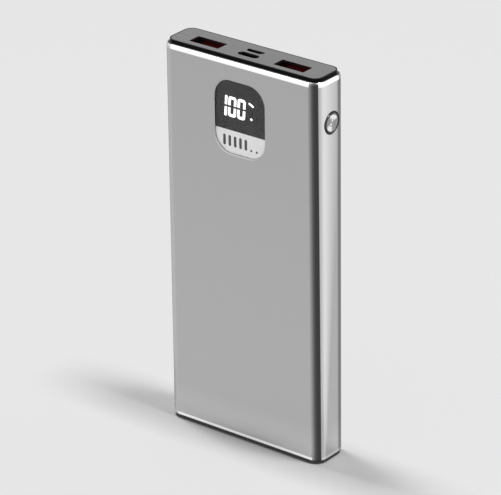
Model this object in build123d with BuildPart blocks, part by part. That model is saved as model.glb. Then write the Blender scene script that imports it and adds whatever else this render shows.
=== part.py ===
from build123d import *
from math import radians, tan
import os

# A slim pocket power bank: an extruded aluminium sleeve, closed by two end caps, around a tray
# with two stacked pouch cells and one upright main board. Millimetres.
# Origin at the middle of the bottom face. +Z is up to the ports, -Y is the display side and
# +X is the side with the power button.

# ---------------------------------------------------------------- driving dimensions
body_width = 68.0
body_depth = 16.0
body_height = 147.0
corner_radius = 4.5        # of the sleeve in plan
sleeve_wall = 1.5
rim_fillet = 1.2           # rounding of both sleeve ends
top_lip = 1.2              # how far the top cap stands out of the sleeve
bottom_lip = 0.8
fit_gap = 0.1              # assembly clearance of pieces that slide in
seat_gap = 0.05            # clearance of glued and soldered pieces

plate_thickness = 0.5      # the two cover plates that are glued on the caps
plate_inset = 0.45         # visible rim of the cap around its plate
cap_floor = 1.6
cap_skirt = 2.8            # how deep the top cap reaches into the sleeve
skirt_wall = 1.0
foot_plug = 1.8            # how deep the bottom cap reaches into the sleeve

window_width = 21.8
window_height = 27.2
window_radius = 6.9
window_chamfer = 0.3       # bright cut edge around the window
window_below_top = 8.8     # from the very top to the window's upper edge
label_height = 8.5         # the pale lower field of the window
lens_thickness = 0.8
film_thickness = 0.1
carrier_flange = 0.7
carrier_margin = 1.7

digit_height = 7.7
digit_width = 3.55
digit_pitch = 4.0
digit_stroke = 1.1
digit_inner_round = 0.3
digit_split = 0.75         # gap between the upper and the lower half of a digit
digit_lean = 4.0           # degrees, tops towards +X
digits_below_top = 18.6
last_digit_x = 0.4
one_to_zero = 2.75         # from the middle of the narrow 1 to the middle of the next digit
mark_x = 4.7
mark_length = 2.4
mark_height = 0.85
mark_tilt = -26.0
mark_drop = 1.2            # below the tops of the digits
dot_radius = 0.5
dot_rise = 1.15            # above the feet of the digits
led_block_width = 18.6
led_block_height = 12.6
segment_depth = 1.0        # how deep the light guides reach into the block
pin_pitch = 2.54
pin_row_gap = 10.16
pin_columns = 5
pin_radius = 0.25
pin_tail = 1.0

bar_count = 5
bar_pitch = 2.34
bar_width = 1.15
bar_height = 4.1
bar_first_x = -7.2
bars_below_top = 31.5
small_dot_radius = 0.45
small_dot_drop = 1.6       # below the middle of the bars
small_dot_pitch = 2.4

board_thickness = 1.0
board_front = -0.7         # y of the face that looks to the display
board_side_gap = 1.2       # between the board and the tray's rails
board_below_top = 36.5     # from the very top to the board's lower edge
board_top_gap = 0.3        # below the top cap's floor
usb_a_x = 18.4
usb_a_y = -1.4
usb_a_width = 13.1
usb_a_depth = 5.7
usb_a_length = 14.0
usb_a_tongue_width = 11.1
usb_a_tongue_thickness = 1.84
usb_a_tongue_rear_gap = 0.65
usb_c_width = 8.94
usb_c_depth = 3.26
usb_c_length = 7.4
usb_c_tongue_width = 6.7
usb_c_tongue_thickness = 0.7
micro_width = 7.5
micro_depth = 2.4
micro_length = 5.6
micro_slant = 1.0          # slanted corners of its mouth
micro_tongue_width = 3.7
micro_tongue_thickness = 0.6
shell_wall = 0.3
port_clearance = 0.1       # around each shell in the cap
mouth_gap = 0.1            # shell mouths end this far under the port plate
tongue_recess = 0.5        # small tongue ends stand this far inside their shells
wide_tongue_recess = 2.3   # and the wide ones this far
port_base = 3.6            # length of the moulded block behind each wide tongue
small_port_base = 1.8
port_ear = 1.2             # soldered ear beside a shell
usb_a_contact_pitch = 2.3
usb_a_contact_width = 1.0
contact_thickness = 0.25
contact_end_gap = 0.5      # from each end of a wide tongue's bare stretch

button_below_top = 17.5
button_radius = 3.6
button_groove = 0.65       # dark ring between the button and the sleeve
button_clearance = 0.15
button_recess = 0.05       # button face behind the sleeve's surface
button_travel = 0.3
button_edge = 0.15         # rounding of the button's face
button_flange = 0.7
button_flange_step = 0.6   # how far the flange is wider than the button
button_stop_gap = 0.1
button_post = 0.5
button_post_radius = 1.4
bezel_recess = 0.3
bezel_flange = 0.8
bezel_flange_height = 12.4
bezel_tail = 0.1           # how far the bezel reaches past its own flange

switch_length = 3.0        # along X
switch_height = 5.6        # along Z
switch_depth = 3.5         # along Y
switch_pocket_radius = 1.6
switch_pocket_depth = 1.3
switch_cover_thickness = 0.15
plunger_radius = 0.9
plunger_collar_radius = 1.3
plunger_collar = 0.75
plunger_gap = 0.1          # between the button's post and the plunger
plunger_reach = 1.1        # how far the plunger stands out of the switch
dome_radius = 1.4
dome_thickness = 0.08

tray_wall = 1.2
tray_floor = 4.6
tray_web = 0.8
mid_wall = 1.2
mid_wall_below_board = 5.0
lead_slot_width = 30.0
lead_slot_depth = 4.2
floor_pockets = 3          # hollows in the tray's thick floor
pocket_width = 13.8
pocket_depth = 9.2
pocket_pitch = 15.0
cell_side_gap = 1.2        # between the cells and the tray's rails
cell_depth = 5.4
cell_gap = 0.3             # the adhesive sheet between the two cells
cell_fillet = 1.6
cell_seal = 3.0
seal_thickness = 0.3
cell_top_room = 1.6
pad_clearance = 0.15       # between each foam pad and the sleeve
pad_margin = 6.0

protection_width = 36.0
protection_thickness = 0.8
tab_x = 12.0
tab_width = 4.0
tab_thickness = 0.2
tab_rise = 1.2             # of the protection board above the cells' seals
tab_bend = 0.6             # height of the bend of each tab above the seal
lead_x = 6.0
lead_radius = 0.65
lead_bend = 2.0
lead_landing = 3.2         # how far a lead reaches up the board

screw_radius = 0.8
screw_head_radius = 1.5
screw_length = 6.0
screw_inset = 3.0          # from the tray's rail to the screw's middle
boss_radius = 1.9
boss_length = 6.8
thread_clearance = 0.03
# places on the board: X, and height above the board's lower edge
inductor_spot = (-20.5, 10.5)
inductor_size = 6.6
inductor_height = 3.0
inductor_round = 1.1
inductor_edge = 0.35
chip_spot = (19.5, 9.0)
chip_size = 5.0
chip_height = 0.9
capacitor_spot = (0.0, 4.5)
capacitor_pitch = 3.2
capacitor_count = 5
capacitor_length = 1.6
capacitor_width = 0.8
board_screw_length = 4.0
board_screw_head = 0.7
board_screw_inset = 3.5    # of the outer screws from the board's side
outer_screw_height = 4.0
inner_screw_x = 14.6
inner_screw_height = 16.5

# ---------------------------------------------------------------- derived sizes
sleeve_bottom = bottom_lip
sleeve_top = body_height - top_lip
rim_radius = min(rim_fillet, sleeve_wall - 0.05)
front_face = body_depth / 2
side_face = body_width / 2
cavity_width = body_width - 2 * sleeve_wall
cavity_depth = body_depth - 2 * sleeve_wall
cavity_radius = corner_radius - sleeve_wall
plug_width = cavity_width - 2 * fit_gap
plug_depth = cavity_depth - 2 * fit_gap
plug_radius = cavity_radius - fit_gap
lip_width = body_width - 2 * rim_radius
lip_depth = body_depth - 2 * rim_radius
lip_radius = corner_radius - rim_radius
recess_width = lip_width - 2 * plate_inset
recess_depth = lip_depth - 2 * plate_inset
recess_radius = lip_radius - plate_inset

cap_recess_floor = body_height - plate_thickness
cap_floor_low = cap_recess_floor - cap_floor
skirt_low = sleeve_top - cap_skirt
foot_top = sleeve_bottom + foot_plug
tray_bottom = foot_top + fit_gap
tray_top = skirt_low - fit_gap

window_top = body_height - window_below_top
window_bottom = window_top - window_height
window_mid = (window_top + window_bottom) / 2
label_top = window_bottom + label_height
digits_z = body_height - digits_below_top
bars_z = body_height - bars_below_top
lens_back = front_face - lens_thickness
film_back = lens_back - film_thickness
cavity_front = front_face - sleeve_wall
first_digit_x = last_digit_x - digit_pitch
one_x = first_digit_x - one_to_zero

tray_width = plug_width
tray_depth = plug_depth
rail_inner = tray_width / 2 - tray_wall
screw_x = rail_inner - screw_inset
cell_width = 2 * (rail_inner - cell_side_gap)
board_width = 2 * (rail_inner - board_side_gap)
board_bottom = body_height - board_below_top
board_screw_x = board_width / 2 - board_screw_inset
board_screw_spots = [
    (-board_screw_x, board_bottom + outer_screw_height),
    (board_screw_x, board_bottom + outer_screw_height),
    (-inner_screw_x, board_bottom + inner_screw_height),
    (inner_screw_x, board_bottom + inner_screw_height),
]

board_back = board_front + board_thickness
board_middle = board_front + board_thickness / 2
board_top = cap_floor_low - board_top_gap
board_height = board_top - board_bottom
shell_mouth = cap_recess_floor - mouth_gap
tongue_end = shell_mouth - wide_tongue_recess
usb_a_low = shell_mouth - usb_a_length
usb_c_y = board_front - usb_c_depth / 2
micro_y = board_back + micro_depth / 2

button_z = body_height - button_below_top
button_y = board_middle
button_face = side_face - button_recess
groove_radius = button_radius + button_groove
bezel_outer = side_face - bezel_recess
bezel_inner = cavity_width / 2 - bezel_flange - bezel_tail
bezel_length = bezel_outer - bezel_inner
button_flange_face = bezel_inner - button_stop_gap
button_post_face = button_flange_face - button_flange
button_back = button_post_face - button_post
plunger_face = button_back - plunger_gap
switch_face = plunger_face - plunger_reach
switch_back = switch_face - switch_length
pocket_floor = switch_face - switch_pocket_depth
dome_rise = button_travel + fit_gap
dome_top = pocket_floor + dome_rise
plunger_end = dome_top + dome_thickness

mid_wall_top = board_bottom - mid_wall_below_board
mid_wall_low = mid_wall_top - mid_wall
cell_bottom = tray_bottom + tray_floor + fit_gap
cell_body_top = mid_wall_low - cell_top_room - cell_seal
cell_body_height = cell_body_top - cell_bottom
cell_y = (cell_gap + cell_depth) / 2
pad_y = cell_gap / 2 + cell_depth + seat_gap
pad_thickness = cavity_depth / 2 - pad_clearance - pad_y

front_plane = Plane.XZ     # local x is X, local y is Z, and its normal points to -Y
side_plane = Plane.YZ      # local x is Y, local y is Z, and its normal points to +X

os.makedirs("parts", exist_ok=True)


def keep(piece, name):
    # labels a finished piece and writes it under its own name
    piece.part.label = name
    export_step(piece.part, f"parts/{name}.step")


def micro_outline(grow, mode=Mode.ADD):
    # a micro-B mouth: its front side is narrower, with two slanted corners
    half = micro_width / 2 + grow
    back = micro_depth / 2 + grow
    Polygon(
        (-half, back),
        (-half, micro_slant - back),
        (micro_slant - half, -back),
        (half - micro_slant, -back),
        (half, micro_slant - back),
        (half, back),
        align=None,
        mode=mode,
    )


def port_outlines(grow):
    # the four port mouths as seen from above, each grown by the same margin
    with Locations((-usb_a_x, usb_a_y), (usb_a_x, usb_a_y)):
        Rectangle(usb_a_width + 2 * grow, usb_a_depth + 2 * grow)
    with Locations((0, usb_c_y)):
        SlotOverall(usb_c_width + 2 * grow, usb_c_depth + 2 * grow)
    with Locations((0, micro_y)):
        micro_outline(grow)


# ---------------------------------------------------------------- casing
with BuildPart() as housing_sleeve:
    with BuildSketch(Plane.XY.offset(sleeve_bottom)):
        RectangleRounded(body_width, body_depth, corner_radius)
    extrude(amount=sleeve_top - sleeve_bottom)
    fillet(housing_sleeve.faces().filter_by(Axis.Z).edges(), rim_radius)
    with BuildSketch(Plane.XY.offset(sleeve_bottom)):
        RectangleRounded(cavity_width, cavity_depth, cavity_radius)
    extrude(amount=sleeve_top - sleeve_bottom, mode=Mode.SUBTRACT)
    # window for the display
    with BuildSketch(front_plane.offset(front_face)):
        with Locations((0, window_mid)):
            RectangleRounded(window_width, window_height, window_radius)
    extrude(amount=-sleeve_wall, mode=Mode.SUBTRACT)
    chamfer(housing_sleeve.edges(Select.LAST).group_by(Axis.Y)[0], window_chamfer)
    # round hole for the power button
    with BuildSketch(side_plane.offset(side_face)):
        with Locations((button_y, button_z)):
            Circle(groove_radius)
    extrude(amount=-(sleeve_wall + corner_radius), mode=Mode.SUBTRACT)
keep(housing_sleeve, "housing_sleeve")

with BuildPart() as top_cap:
    with BuildSketch(Plane.XY.offset(skirt_low)):
        RectangleRounded(plug_width, plug_depth, plug_radius)
    extrude(amount=cap_skirt)
    with BuildSketch(Plane.XY.offset(sleeve_top)):
        RectangleRounded(lip_width, lip_depth, lip_radius)
    extrude(amount=top_lip)
    # recess for the port plate
    with BuildSketch(Plane.XY.offset(cap_recess_floor)):
        RectangleRounded(recess_width, recess_depth, recess_radius)
    extrude(amount=plate_thickness, mode=Mode.SUBTRACT)
    # hollow underside, with a solid block left around each screw
    with BuildSketch(Plane.XY.offset(skirt_low)):
        RectangleRounded(plug_width - 2 * skirt_wall, plug_depth - 2 * skirt_wall, plug_radius - skirt_wall)
        with Locations((-screw_x, 0), (screw_x, 0)):
            Rectangle(2 * boss_radius, plug_depth, mode=Mode.SUBTRACT)
    extrude(amount=cap_floor_low - skirt_low, mode=Mode.SUBTRACT)
    # holes for the four port shells
    with BuildSketch(Plane.XY.offset(skirt_low)):
        port_outlines(port_clearance)
    extrude(amount=cap_recess_floor - skirt_low, mode=Mode.SUBTRACT)
    # countersunk screw holes
    with Locations(Plane.XY.offset(cap_recess_floor)):
        with Locations((-screw_x, 0), (screw_x, 0)):
            CounterSinkHole(screw_radius + fit_gap, screw_head_radius + fit_gap)
keep(top_cap, "top_cap")

with BuildPart() as port_plate:
    with BuildSketch(Plane.XY.offset(cap_recess_floor)):
        RectangleRounded(
            recess_width - 2 * seat_gap, recess_depth - 2 * seat_gap, recess_radius - seat_gap
        )
        # the plate hides the metal of each shell, so its openings are the shells' inner size
        with Locations((-usb_a_x, usb_a_y), (usb_a_x, usb_a_y)):
            RectangleRounded(
                usb_a_width - shell_wall, usb_a_depth - shell_wall, shell_wall, mode=Mode.SUBTRACT
            )
        with Locations((0, usb_c_y)):
            SlotOverall(usb_c_width - shell_wall, usb_c_depth - shell_wall, mode=Mode.SUBTRACT)
        with Locations((0, micro_y)):
            micro_outline(-shell_wall / 2, mode=Mode.SUBTRACT)
    extrude(amount=plate_thickness)
keep(port_plate, "port_plate")

with BuildPart() as bottom_cap:
    with BuildSketch(Plane.XY):
        RectangleRounded(lip_width, lip_depth, lip_radius)
    extrude(amount=bottom_lip)
    with BuildSketch(Plane.XY.offset(bottom_lip)):
        RectangleRounded(plug_width, plug_depth, plug_radius)
    extrude(amount=foot_plug)
    with BuildSketch(Plane.XY):
        RectangleRounded(recess_width, recess_depth, recess_radius)
    extrude(amount=plate_thickness, mode=Mode.SUBTRACT)
    with Locations(-Plane.XY.offset(plate_thickness)):
        with Locations((-screw_x, 0), (screw_x, 0)):
            CounterSinkHole(screw_radius + fit_gap, screw_head_radius + fit_gap)
keep(bottom_cap, "bottom_cap")

with BuildPart() as bottom_plate:
    with BuildSketch(Plane.XY):
        RectangleRounded(
            recess_width - 2 * seat_gap, recess_depth - 2 * seat_gap, recess_radius - seat_gap
        )
    extrude(amount=plate_thickness)
keep(bottom_plate, "bottom_plate")

# ---------------------------------------------------------------- tray
with BuildPart() as inner_tray:
    with BuildSketch(Plane.XY.offset(tray_bottom)):
        RectangleRounded(tray_width, tray_depth, plug_radius)
    extrude(amount=tray_top - tray_bottom)
    # the two battery bays are one space, open to the front and the back
    with BuildSketch(Plane.XY.offset(tray_bottom + tray_floor)):
        Rectangle(2 * rail_inner, body_depth)
    extrude(amount=mid_wall_low - tray_bottom - tray_floor, mode=Mode.SUBTRACT)
    # the board bay keeps a thin web at its back
    with BuildSketch(Plane.XY.offset(mid_wall_top)):
        with Locations((0, -tray_web)):
            Rectangle(2 * rail_inner, tray_depth)
        # two ears for the top screws
        with Locations((-rail_inner, 0), (rail_inner, 0)):
            Rectangle(
                2 * (rail_inner - screw_x + boss_radius), 2 * boss_radius, mode=Mode.SUBTRACT
            )
    extrude(amount=tray_top - mid_wall_top, mode=Mode.SUBTRACT)
    with BuildSketch(Plane.XY.offset(mid_wall_top)):
        with Locations((-rail_inner, 0), (rail_inner, 0)):
            Rectangle(2 * (rail_inner - screw_x + boss_radius), 2 * boss_radius)
        Rectangle(2 * rail_inner, 2 * boss_radius, mode=Mode.INTERSECT)
    extrude(amount=tray_top - boss_length - mid_wall_top, mode=Mode.SUBTRACT)
    # slot for the battery leads
    with BuildSketch(Plane.XY.offset(mid_wall_low)):
        Rectangle(lead_slot_width, lead_slot_depth)
    extrude(amount=mid_wall, mode=Mode.SUBTRACT)
    # cored-out floor
    with BuildSketch(Plane.XY.offset(tray_bottom + tray_wall)):
        with GridLocations(pocket_pitch, 0, floor_pockets, 1):
            Rectangle(pocket_width, pocket_depth)
    extrude(amount=tray_floor - tray_wall, mode=Mode.SUBTRACT)
    # opening in the side rail for the button and its bezel
    with BuildSketch(side_plane.offset(rail_inner - boss_radius / 2)):
        with Locations((button_y, button_z)):
            Rectangle(body_depth, bezel_flange_height + 2 * fit_gap)
    extrude(amount=tray_wall + boss_radius, mode=Mode.SUBTRACT)
    # posts that carry the board
    with BuildSketch(front_plane.offset(-board_back)):
        with Locations(*board_screw_spots):
            Circle(boss_radius)
    extrude(amount=board_back - tray_depth / 2)
    # pilot holes
    with BuildSketch(front_plane.offset(-board_back)):
        with Locations(*board_screw_spots):
            Circle(screw_radius + thread_clearance)
    extrude(amount=board_thickness - board_screw_length - fit_gap, mode=Mode.SUBTRACT)
    with BuildSketch(Plane.XY.offset(tray_top)):
        with Locations((-screw_x, 0), (screw_x, 0)):
            Circle(screw_radius + thread_clearance)
    extrude(amount=cap_recess_floor - screw_length - fit_gap - tray_top, mode=Mode.SUBTRACT)
    with BuildSketch(Plane.XY.offset(tray_bottom)):
        with Locations((-screw_x, 0), (screw_x, 0)):
            Circle(screw_radius + thread_clearance)
    extrude(amount=plate_thickness + screw_length + fit_gap - tray_bottom, mode=Mode.SUBTRACT)
keep(inner_tray, "inner_tray")


def end_screws(head, towards):
    # two countersunk screws from their heads' flat faces, along +Z or -Z
    cone_end = head + towards * (screw_head_radius - screw_radius)
    with BuildPart() as screws:
        for side in (-1, 1):
            with BuildSketch(Plane.XY.offset(head)):
                with Locations((side * screw_x, 0)):
                    Circle(screw_radius)
            extrude(amount=towards * screw_length)
            with BuildSketch(Plane.XY.offset(head)):
                with Locations((side * screw_x, 0)):
                    Circle(screw_head_radius)
            with BuildSketch(Plane.XY.offset(cone_end)):
                with Locations((side * screw_x, 0)):
                    Circle(screw_radius)
            loft()
    return screws


keep(end_screws(cap_recess_floor, -1), "top_screws")
keep(end_screws(plate_thickness, 1), "bottom_screws")


# ---------------------------------------------------------------- display
def window_outline(shrink):
    # the window's shape, centred on the window, on a plane parallel to the front
    with Locations((0, window_mid)):
        RectangleRounded(window_width - 2 * shrink, window_height - 2 * shrink, window_radius - shrink)


def half_field(low, high):
    # keeps only what lies between two heights
    with Locations((0, (low + high) / 2)):
        Rectangle(2 * window_width, high - low, mode=Mode.INTERSECT)


def leaning_box(x, width, height, rounding, mode=Mode.ADD):
    # a rounded box on the digits' middle line that leans with them
    shift = height / 2 * tan(radians(digit_lean))
    low, high = digits_z - height / 2, digits_z + height / 2
    with BuildLine() as outline:
        FilletPolyline(
            (x - width / 2 - shift, low),
            (x + width / 2 - shift, low),
            (x + width / 2 + shift, high),
            (x - width / 2 + shift, high),
            radius=rounding,
            close=True,
        )
    make_face(outline.line.edges(), mode=mode)


def digit_arches():
    # the narrow 1 and the two rounded zeros, each split at mid-height
    leaning_box(one_x, digit_stroke, digit_height, digit_inner_round)
    for x in (first_digit_x, last_digit_x):
        leaning_box(x, digit_width, digit_height, digit_stroke)
        leaning_box(
            x,
            digit_width - 2 * digit_stroke,
            digit_height - 2 * digit_stroke,
            digit_inner_round,
            Mode.SUBTRACT,
        )
    with Locations((0, digits_z)):
        Rectangle(window_width, digit_split, mode=Mode.SUBTRACT)


def digit_bars():
    # the unlit middle bar of each zero
    with Locations((first_digit_x, digits_z), (last_digit_x, digits_z)):
        Rectangle(digit_width - 2 * digit_stroke - digit_split, digit_stroke)


def state_marks():
    # a slanted dash near the digits' tops, and a dot near their feet
    with Locations(Location((mark_x, digits_z + digit_height / 2 - mark_drop), mark_tilt)):
        SlotOverall(mark_length, mark_height)
    with Locations((mark_x, digits_z - digit_height / 2 + dot_rise)):
        Circle(dot_radius)


def gauge_marks():
    for place in range(bar_count):
        with Locations((bar_first_x + place * bar_pitch, bars_z)):
            SlotOverall(bar_height, bar_width, rotation=90)
    dots_x = bar_first_x + bar_count * bar_pitch
    with Locations((dots_x, bars_z - small_dot_drop), (dots_x + small_dot_pitch, bars_z - small_dot_drop)):
        Circle(small_dot_radius)


with BuildPart() as display_lens:
    with BuildSketch(front_plane.offset(lens_back)):
        window_outline(seat_gap)
    extrude(amount=lens_thickness)
keep(display_lens, "display_lens")

# two printed films behind the lens: a dark field for the read-out and a pale one for the gauge
with BuildPart() as lens_mask:
    with BuildSketch(front_plane.offset(film_back)):
        window_outline(seat_gap)
        half_field(label_top, window_top)
    extrude(amount=film_thickness)
    with BuildSketch(front_plane.offset(film_back)):
        digit_arches()
        digit_bars()
        state_marks()
    extrude(amount=film_thickness, mode=Mode.SUBTRACT)
keep(lens_mask, "lens_mask")

with BuildPart() as lens_label:
    with BuildSketch(front_plane.offset(film_back)):
        window_outline(seat_gap)
        half_field(window_bottom, label_top)
    extrude(amount=film_thickness)
    with BuildSketch(front_plane.offset(film_back)):
        gauge_marks()
    extrude(amount=film_thickness, mode=Mode.SUBTRACT)
keep(lens_label, "lens_label")

with BuildPart() as gauge_bars:
    with BuildSketch(front_plane.offset(film_back)):
        gauge_marks()
    extrude(amount=film_thickness)
keep(gauge_bars, "gauge_bars")

with BuildPart() as lit_segments:
    with BuildSketch(front_plane.offset(film_back - segment_depth)):
        digit_arches()
        state_marks()
    extrude(amount=segment_depth + film_thickness)
keep(lit_segments, "lit_segments")

with BuildPart() as dark_segments:
    with BuildSketch(front_plane.offset(film_back - segment_depth)):
        digit_bars()
    extrude(amount=segment_depth + film_thickness)
keep(dark_segments, "dark_segments")

with BuildPart() as display_block:
    with BuildSketch(front_plane.offset(-board_front)):
        with Locations((0, digits_z)):
            Rectangle(led_block_width, led_block_height)
    extrude(amount=film_back + board_front)
    with BuildSketch(front_plane.offset(film_back)):
        digit_arches()
        digit_bars()
        state_marks()
    extrude(amount=-segment_depth, mode=Mode.SUBTRACT)
keep(display_block, "display_block")

with BuildPart() as display_pins:
    with BuildSketch(front_plane.offset(-board_front)):
        with Locations((0, digits_z)):
            with GridLocations(pin_pitch, pin_row_gap, pin_columns, 2):
                Circle(pin_radius)
    extrude(amount=-(board_thickness + pin_tail))
keep(display_pins, "display_pins")

with BuildPart() as lens_carrier:
    with BuildSketch(front_plane.offset(cavity_front - carrier_flange)):
        window_outline(-carrier_margin)
    extrude(amount=carrier_flange)
    with BuildSketch(front_plane.offset(cavity_front)):
        window_outline(seat_gap)
    extrude(amount=film_back - cavity_front)
    with BuildSketch(front_plane.offset(cavity_front - carrier_flange)):
        with Locations((0, digits_z)):
            Rectangle(led_block_width + 2 * fit_gap, led_block_height + 2 * fit_gap)
    extrude(amount=film_back - cavity_front + carrier_flange, mode=Mode.SUBTRACT)
keep(lens_carrier, "lens_carrier")

# ---------------------------------------------------------------- main board
with BuildPart() as main_board:
    with BuildSketch(front_plane.offset(-board_back)):
        with Locations((0, board_bottom + board_height / 2)):
            Rectangle(board_width, board_height)
        # the two wide ports sit half sunk in notches
        with Locations((-usb_a_x, board_top), (usb_a_x, board_top)):
            Rectangle(
                usb_a_width + 2 * fit_gap, 2 * (board_top - usb_a_low + fit_gap), mode=Mode.SUBTRACT
            )
        # the top corners clear the tray's screw ears
        with Locations((-board_width / 2, board_top), (board_width / 2, board_top)):
            Rectangle(
                board_width - 2 * usb_a_x - usb_a_width,
                2 * (board_top - tray_top + boss_length + board_top_gap),
                mode=Mode.SUBTRACT,
            )
        # notch for the side switch
        with Locations((board_width / 2, button_z)):
            Rectangle(
                board_width - 2 * (switch_back - fit_gap),
                switch_height + 2 * (switch_cover_thickness + fit_gap),
                mode=Mode.SUBTRACT,
            )
        with Locations(*board_screw_spots):
            Circle(screw_radius + fit_gap, mode=Mode.SUBTRACT)
        with Locations((0, digits_z)):
            with GridLocations(pin_pitch, pin_row_gap, pin_columns, 2):
                Circle(pin_radius + seat_gap, mode=Mode.SUBTRACT)
    extrude(amount=board_thickness)
keep(main_board, "main_board")

with BuildPart() as board_screws:
    with BuildSketch(front_plane.offset(-board_front)):
        with Locations(*board_screw_spots):
            Circle(screw_head_radius)
    extrude(amount=board_screw_head)
    with BuildSketch(front_plane.offset(-board_front)):
        with Locations(*board_screw_spots):
            Circle(screw_radius)
    extrude(amount=-board_screw_length)
keep(board_screws, "board_screws")

with BuildPart() as inductor:
    with BuildSketch(front_plane.offset(-board_front)):
        with Locations((inductor_spot[0], board_bottom + inductor_spot[1])):
            RectangleRounded(inductor_size, inductor_size, inductor_round)
    extrude(amount=inductor_height)
    chamfer(inductor.faces().sort_by(Axis.Y)[0].edges(), inductor_edge)
keep(inductor, "inductor")

with BuildPart() as controller_chip:
    with BuildSketch(front_plane.offset(-board_front)):
        with Locations((chip_spot[0], board_bottom + chip_spot[1])):
            Rectangle(chip_size, chip_size)
    extrude(amount=chip_height)
keep(controller_chip, "controller_chip")

with BuildPart() as capacitors:
    with BuildSketch(front_plane.offset(-board_front)):
        with Locations((capacitor_spot[0], board_bottom + capacitor_spot[1])):
            with GridLocations(capacitor_pitch, 0, capacitor_count, 1):
                Rectangle(capacitor_width, capacitor_length)
    extrude(amount=capacitor_width)
keep(capacitors, "capacitors")


# ---------------------------------------------------------------- ports
def usb_a_port(name, x):
    # metal shell, moulded tongue and four contact springs of one wide port
    inner_width = usb_a_width - 2 * shell_wall
    inner_depth = usb_a_depth - 2 * shell_wall
    with BuildPart() as shell:
        with BuildSketch(Plane.XY.offset(usb_a_low)):
            with Locations((x, usb_a_y)):
                RectangleRounded(usb_a_width, usb_a_depth, 2 * shell_wall)
                RectangleRounded(inner_width, inner_depth, shell_wall, mode=Mode.SUBTRACT)
        extrude(amount=usb_a_length)
        # two ears rest on the board's front face
        with BuildSketch(front_plane.offset(-board_front)):
            with Locations((x, usb_a_low + port_ear)):
                Rectangle(usb_a_width + 2 * port_ear, port_ear)
                Rectangle(inner_width + shell_wall, port_ear, mode=Mode.SUBTRACT)
        extrude(amount=shell_wall)
    keep(shell, f"{name}_shell")

    tongue_rear = usb_a_y + inner_depth / 2 - usb_a_tongue_rear_gap
    tongue_front = tongue_rear - usb_a_tongue_thickness
    with BuildPart() as tongue:
        with BuildSketch(Plane.XY.offset(usb_a_low)):
            with Locations((x, usb_a_y)):
                RectangleRounded(inner_width - 2 * seat_gap, inner_depth - 2 * seat_gap, shell_wall)
        extrude(amount=port_base)
        with BuildSketch(Plane.XY.offset(usb_a_low + port_base)):
            with Locations((x, (tongue_front + tongue_rear) / 2)):
                Rectangle(usb_a_tongue_width, usb_a_tongue_thickness)
        extrude(amount=tongue_end - usb_a_low - port_base)
        chamfer(tongue.faces().sort_by(Axis.Z)[-1].edges().filter_by(Axis.X), contact_thickness)
    keep(tongue, f"{name}_tongue")

    with BuildPart() as contacts:
        with BuildSketch(front_plane.offset(-tongue_front)):
            with Locations((x, (usb_a_low + port_base + tongue_end) / 2)):
                with GridLocations(usb_a_contact_pitch, 0, 4, 1):
                    Rectangle(usb_a_contact_width, tongue_end - usb_a_low - port_base - 2 * contact_end_gap)
        extrude(amount=contact_thickness)
    keep(contacts, f"{name}_contacts")


usb_a_port("usb_a_left", -usb_a_x)
usb_a_port("usb_a_right", usb_a_x)

with BuildPart() as usb_c_shell:
    with BuildSketch(Plane.XY.offset(shell_mouth - usb_c_length)):
        with Locations((0, usb_c_y)):
            SlotOverall(usb_c_width, usb_c_depth)
            SlotOverall(usb_c_width - 2 * shell_wall, usb_c_depth - 2 * shell_wall, mode=Mode.SUBTRACT)
    extrude(amount=usb_c_length)
keep(usb_c_shell, "usb_c_shell")

with BuildPart() as usb_c_tongue:
    with BuildSketch(Plane.XY.offset(shell_mouth - usb_c_length)):
        with Locations((0, usb_c_y)):
            SlotOverall(
                usb_c_width - 2 * (shell_wall + seat_gap), usb_c_depth - 2 * (shell_wall + seat_gap)
            )
    extrude(amount=small_port_base)
    with BuildSketch(Plane.XY.offset(shell_mouth - usb_c_length)):
        with Locations((0, usb_c_y)):
            Rectangle(usb_c_tongue_width, usb_c_tongue_thickness)
    extrude(amount=usb_c_length - tongue_recess)
keep(usb_c_tongue, "usb_c_tongue")

with BuildPart() as micro_usb_shell:
    with BuildSketch(Plane.XY.offset(shell_mouth - micro_length)):
        with Locations((0, micro_y)):
            micro_outline(0)
            micro_outline(-shell_wall, mode=Mode.SUBTRACT)
    extrude(amount=micro_length)
keep(micro_usb_shell, "micro_usb_shell")

with BuildPart() as micro_usb_tongue:
    with BuildSketch(Plane.XY.offset(shell_mouth - micro_length)):
        with Locations((0, micro_y)):
            micro_outline(-shell_wall - seat_gap)
    extrude(amount=small_port_base)
    with BuildSketch(Plane.XY.offset(shell_mouth - micro_length)):
        with Locations((0, micro_y)):
            Rectangle(micro_tongue_width, micro_tongue_thickness)
    extrude(amount=micro_length - tongue_recess)
keep(micro_usb_tongue, "micro_usb_tongue")

# ---------------------------------------------------------------- power button and its switch
with BuildPart() as power_button:
    with BuildSketch(side_plane.offset(button_flange_face)):
        with Locations((button_y, button_z)):
            Circle(button_radius)
    extrude(amount=button_face - button_flange_face)
    fillet(power_button.faces().sort_by(Axis.X)[-1].edges(), button_edge)
    with BuildSketch(side_plane.offset(button_post_face)):
        with Locations((button_y, button_z)):
            Circle(button_radius + button_flange_step)
    extrude(amount=button_flange)
    with BuildSketch(side_plane.offset(button_back)):
        with Locations((button_y, button_z)):
            Circle(button_post_radius)
    extrude(amount=button_post)
keep(power_button, "power_button")

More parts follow.
